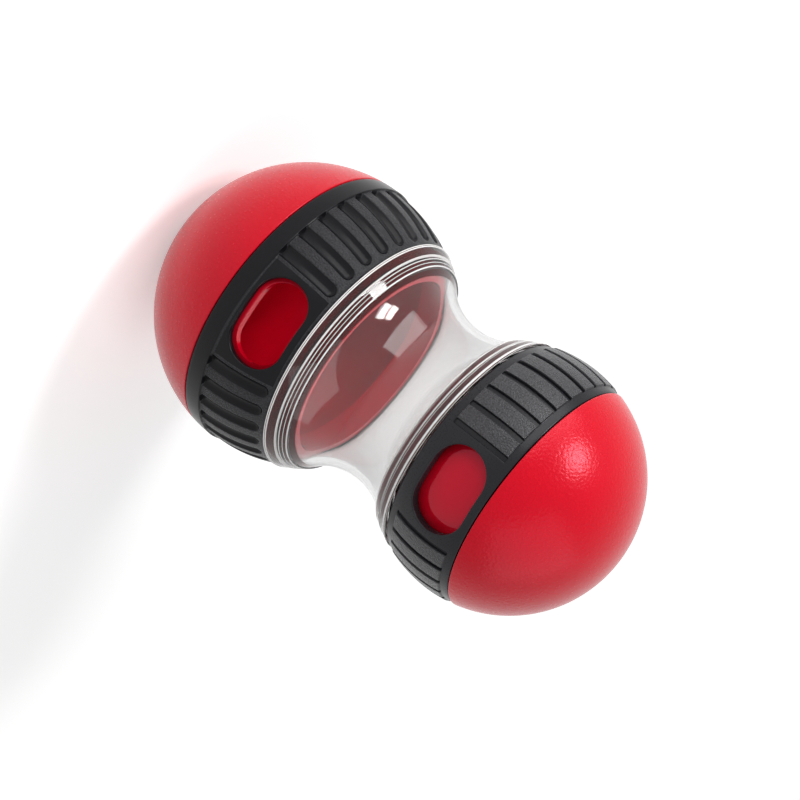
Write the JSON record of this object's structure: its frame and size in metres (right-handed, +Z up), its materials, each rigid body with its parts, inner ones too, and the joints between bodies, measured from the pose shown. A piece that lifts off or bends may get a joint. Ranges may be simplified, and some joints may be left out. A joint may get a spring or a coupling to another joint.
{
  "type": "wobble treat dispenser",
  "caption": "Upright wobble treat dispenser for pets: two red ball ends on a clear hourglass body, ribbed black collars that turn to open or shut a treat window, and a weighted base.",
  "frame": {"origin": "centre of the foot flat under the large ball, which is the bottom centre of the part", "axes": "+Z up the common axis from the large ball to the small ball, -Y out of the large ball's treat window, +X to the right seen from the front"},
  "size_m": [0.096, 0.096, 0.1728],
  "materials": {
    "clear_plastic": "clear, polished",
    "soft_ring": "soft silicone, matte",
    "red_plastic": "satin with a fine grain",
    "gloss_red_plastic": "polished",
    "black_plastic": "satin with a sandy grain",
    "steel": "zinc plated",
    "iron": "plain casting"
  },
  "bodies": {
    "clear": {"clear_body": "clear_plastic"},
    "large_ring": {"large_seal": "soft_ring"},
    "large_end": {"large_dome": "red_plastic", "large_shutter": "gloss_red_plastic", "large_screws": "steel", "wobble_weight": "iron", "weight_washer": "steel", "weight_screw": "steel"},
    "large_turner": {"large_collar": "black_plastic"},
    "small_ring": {"small_seal": "soft_ring"},
    "small_end": {"small_dome": "red_plastic", "small_shutter": "gloss_red_plastic", "small_screws": "steel"},
    "small_turner": {"small_collar": "black_plastic"}
  },
  "joints": [
    {"name": "large_unscrew", "type": "hinge", "parent": "large_end", "child": "large_ring", "pos_m": [0, 0, 0.0695], "axis": [0, 0, 1], "range_deg": [0, 180]},
    {"name": "large_lift", "type": "slide", "parent": "large_ring", "child": "clear", "axis": [0, 0, 1], "range_m": [0, 0.0091]},
    {"name": "large_collar_turn", "type": "hinge", "parent": "large_end", "child": "large_turner", "pos_m": [0, 0, 0.0554], "axis": [0, 0, 1], "range_deg": [0, 60]},
    {"name": "small_lift", "type": "slide", "parent": "clear", "child": "small_ring", "axis": [0, 0, 1], "range_m": [0, 0.0091]},
    {"name": "small_unscrew", "type": "hinge", "parent": "small_ring", "child": "small_end", "pos_m": [0, 0, 0.1166], "axis": [0, 0, 1], "range_deg": [0, 180]},
    {"name": "small_collar_turn", "type": "hinge", "parent": "small_end", "child": "small_turner", "pos_m": [0, 0, 0.13], "axis": [0, 0, 1], "range_deg": [0, 60]}
  ],
  "couplings": [
    {"joint": "large_lift", "follows": "large_unscrew", "m_per_rad": 0.0028648},
    {"joint": "small_lift", "follows": "small_unscrew", "m_per_rad": 0.0028648}
  ]
}
